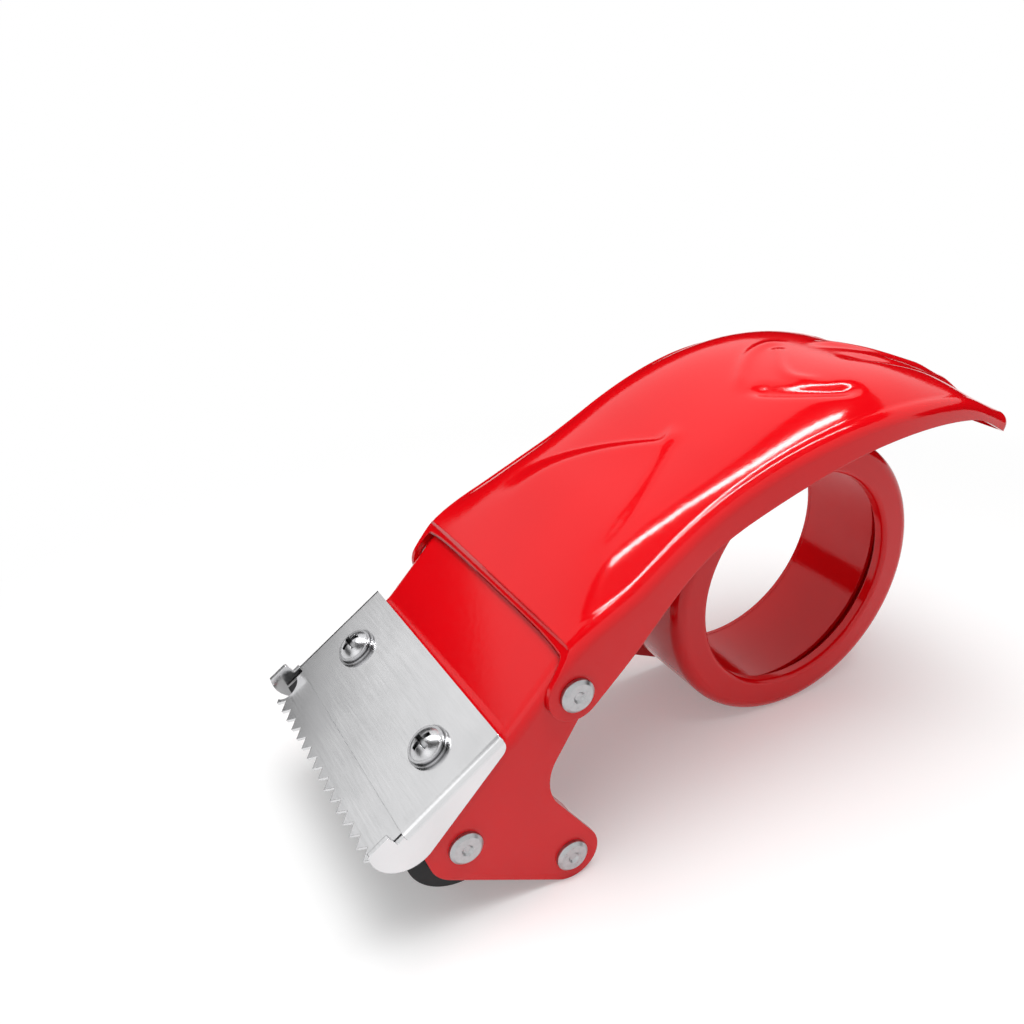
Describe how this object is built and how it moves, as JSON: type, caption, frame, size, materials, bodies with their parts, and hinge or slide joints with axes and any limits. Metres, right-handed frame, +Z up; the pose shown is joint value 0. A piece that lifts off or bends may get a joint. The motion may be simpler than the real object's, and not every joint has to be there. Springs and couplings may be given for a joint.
{
  "type": "tape cutter",
  "caption": "Hand-held packing tape cutter: a red pressed frame with a tape hub, an arched brake handle, a rubber roller and a toothed blade under a steel cover.",
  "frame": {"origin": "on the axis of the tape hub, at the middle of the cutter's width", "axes": "+X towards the handle's tail, -X towards the blade; -Y the way the roll slides off the hub; +Z up, as the cutter rests on a table"},
  "size_m": [0.164, 0.0684, 0.0939],
  "materials": {
    "red_enamel": "gloss",
    "brushed_stainless": "satin",
    "polished_steel": "gloss",
    "satin_steel": "satin",
    "spring_steel": "satin",
    "black_rubber": "satin",
    "black_plastic": "satin"
  },
  "bodies": {
    "frame": {"main_frame": "red_enamel", "hub_drum": "red_enamel", "hub_liner": "red_enamel", "hinge_pin": "satin_steel", "hinge_spacer": "satin_steel", "hinge_washers": "satin_steel", "return_spring": "spring_steel", "roller_axle": "satin_steel", "roller_washers": "satin_steel", "guide_pin": "satin_steel", "cover_plate": "brushed_stainless", "blade": "brushed_stainless", "wiper_flap": "black_plastic", "cover_washers": "polished_steel", "cover_nuts": "satin_steel", "cover_screws": "polished_steel"},
    "handle": {"handle_shell": "red_enamel"},
    "roller": {"roller_core": "satin_steel", "roller_tyre": "black_rubber", "roller_bushes": "black_plastic"},
    "guide": {"guide_sleeve": "satin_steel"}
  },
  "joints": [
    {"name": "handle_press", "type": "hinge", "parent": "frame", "child": "handle", "pos_m": [-0.0815, 0, 0.0107], "axis": [0, 1, 0], "range_deg": [0, 8], "stiffness_Nm_per_rad": 0.6, "springref_deg": -17.19, "deforming": ["return_spring"]},
    {"name": "roller_spin", "type": "hinge", "parent": "frame", "child": "roller", "pos_m": [-0.105, 0, -0.0179], "axis": [0, 1, 0], "continuous": true},
    {"name": "guide_spin", "type": "hinge", "parent": "frame", "child": "guide", "pos_m": [-0.0809, 0, -0.031], "axis": [0, 1, 0], "continuous": true}
  ]
}
